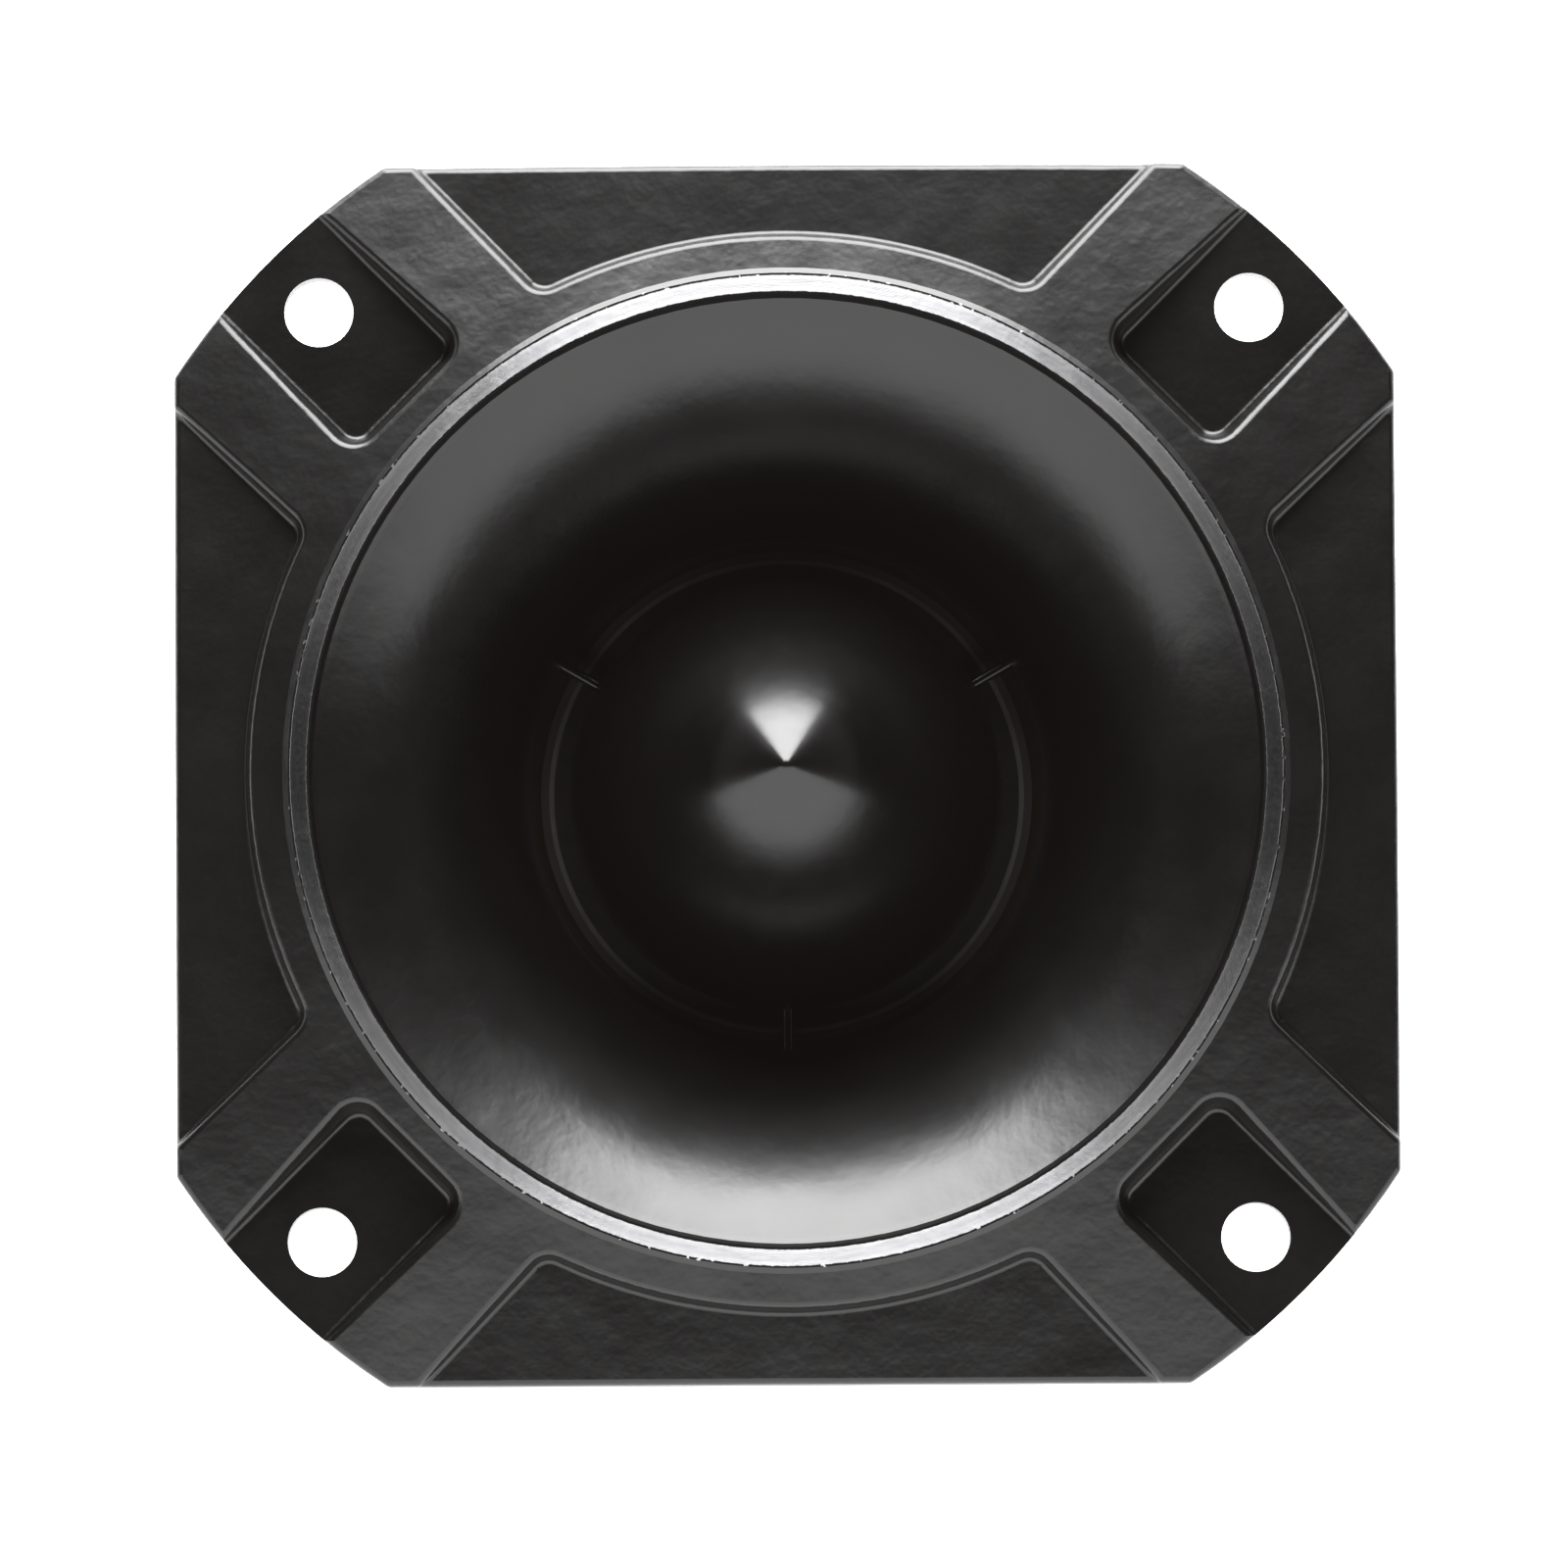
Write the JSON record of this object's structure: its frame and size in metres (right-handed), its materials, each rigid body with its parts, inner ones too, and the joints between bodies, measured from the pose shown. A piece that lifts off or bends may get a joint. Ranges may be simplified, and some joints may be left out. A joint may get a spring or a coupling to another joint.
{
  "type": "car bullet tweeter",
  "caption": "Square-flanged car tweeter with a flared metal horn, a pointed bullet phase plug, a ring-magnet motor and side push terminals.",
  "frame": {"origin": "on the tweeter's axis, at the flange's rear mounting face, the centre of the four screw holes", "axes": "+Z along the horn's axis, the way the sound goes; -Y is the side with the wire terminals; X along a flange side"},
  "size_m": [0.097, 0.097, 0.0634],
  "materials": {
    "cast_black": "satin black paint on die-cast aluminium, bare turned ring at the mouth",
    "plug_black": "satin black moulding",
    "gasket": "matte black",
    "titanium": "thin satin titanium foil",
    "film": "amber polyimide film",
    "former": "amber polyimide former",
    "copper": "copper",
    "phenolic": "brown phenolic laminate",
    "brass": "tinned brass strip",
    "plated_steel": "zinc-plated steel",
    "ferrite": "dark grey sintered ferrite",
    "felt": "grey felt",
    "screw_steel": "black oxide screws",
    "spring_steel": "bright spring steel",
    "terminal_black": "black moulding, fine texture",
    "tab_red": "red moulding",
    "tab_black": "black moulding",
    "wire_red": "red insulation",
    "wire_black": "black insulation"
  },
  "bodies": {
    "housing": {"horn_flange": "cast_black", "phase_plug": "plug_black", "throat_gasket": "gasket", "diaphragm_ring": "phenolic", "solder_lugs": "brass", "rear_gasket": "gasket", "top_plate": "plated_steel", "magnet_ring": "ferrite", "yoke": "plated_steel", "pole_cap": "copper", "damping_pad": "felt", "motor_screws": "screw_steel", "lock_washers": "spring_steel", "terminal_block": "terminal_black", "terminal_screws": "spring_steel", "contacts": "brass", "red_lead": "wire_red", "black_lead": "wire_black"},
    "diaphragm": {"dome": "titanium", "surround": "film", "coil_former": "former", "voice_coil": "copper", "coil_leads": "copper"},
    "red_button": {"red_tab": "tab_red", "red_tab_spring": "spring_steel"},
    "black_button": {"black_tab": "tab_black", "black_tab_spring": "spring_steel"}
  },
  "joints": [
    {"name": "diaphragm_travel", "type": "slide", "parent": "housing", "child": "diaphragm", "axis": [0, 0, 1], "range_m": [-0.0003, 0.0003], "stiffness_N_per_m": 600, "deforming": ["surround", "coil_leads"]},
    {"name": "red_tab_press", "type": "slide", "parent": "housing", "child": "red_button", "axis": [0, 1, 0], "range_m": [0, 0.0023], "stiffness_N_per_m": 150, "springref_m": -0.001, "deforming": ["red_tab_spring"]},
    {"name": "black_tab_press", "type": "slide", "parent": "housing", "child": "black_button", "axis": [0, 1, 0], "range_m": [0, 0.0023], "stiffness_N_per_m": 150, "springref_m": -0.001, "deforming": ["black_tab_spring"]}
  ]
}
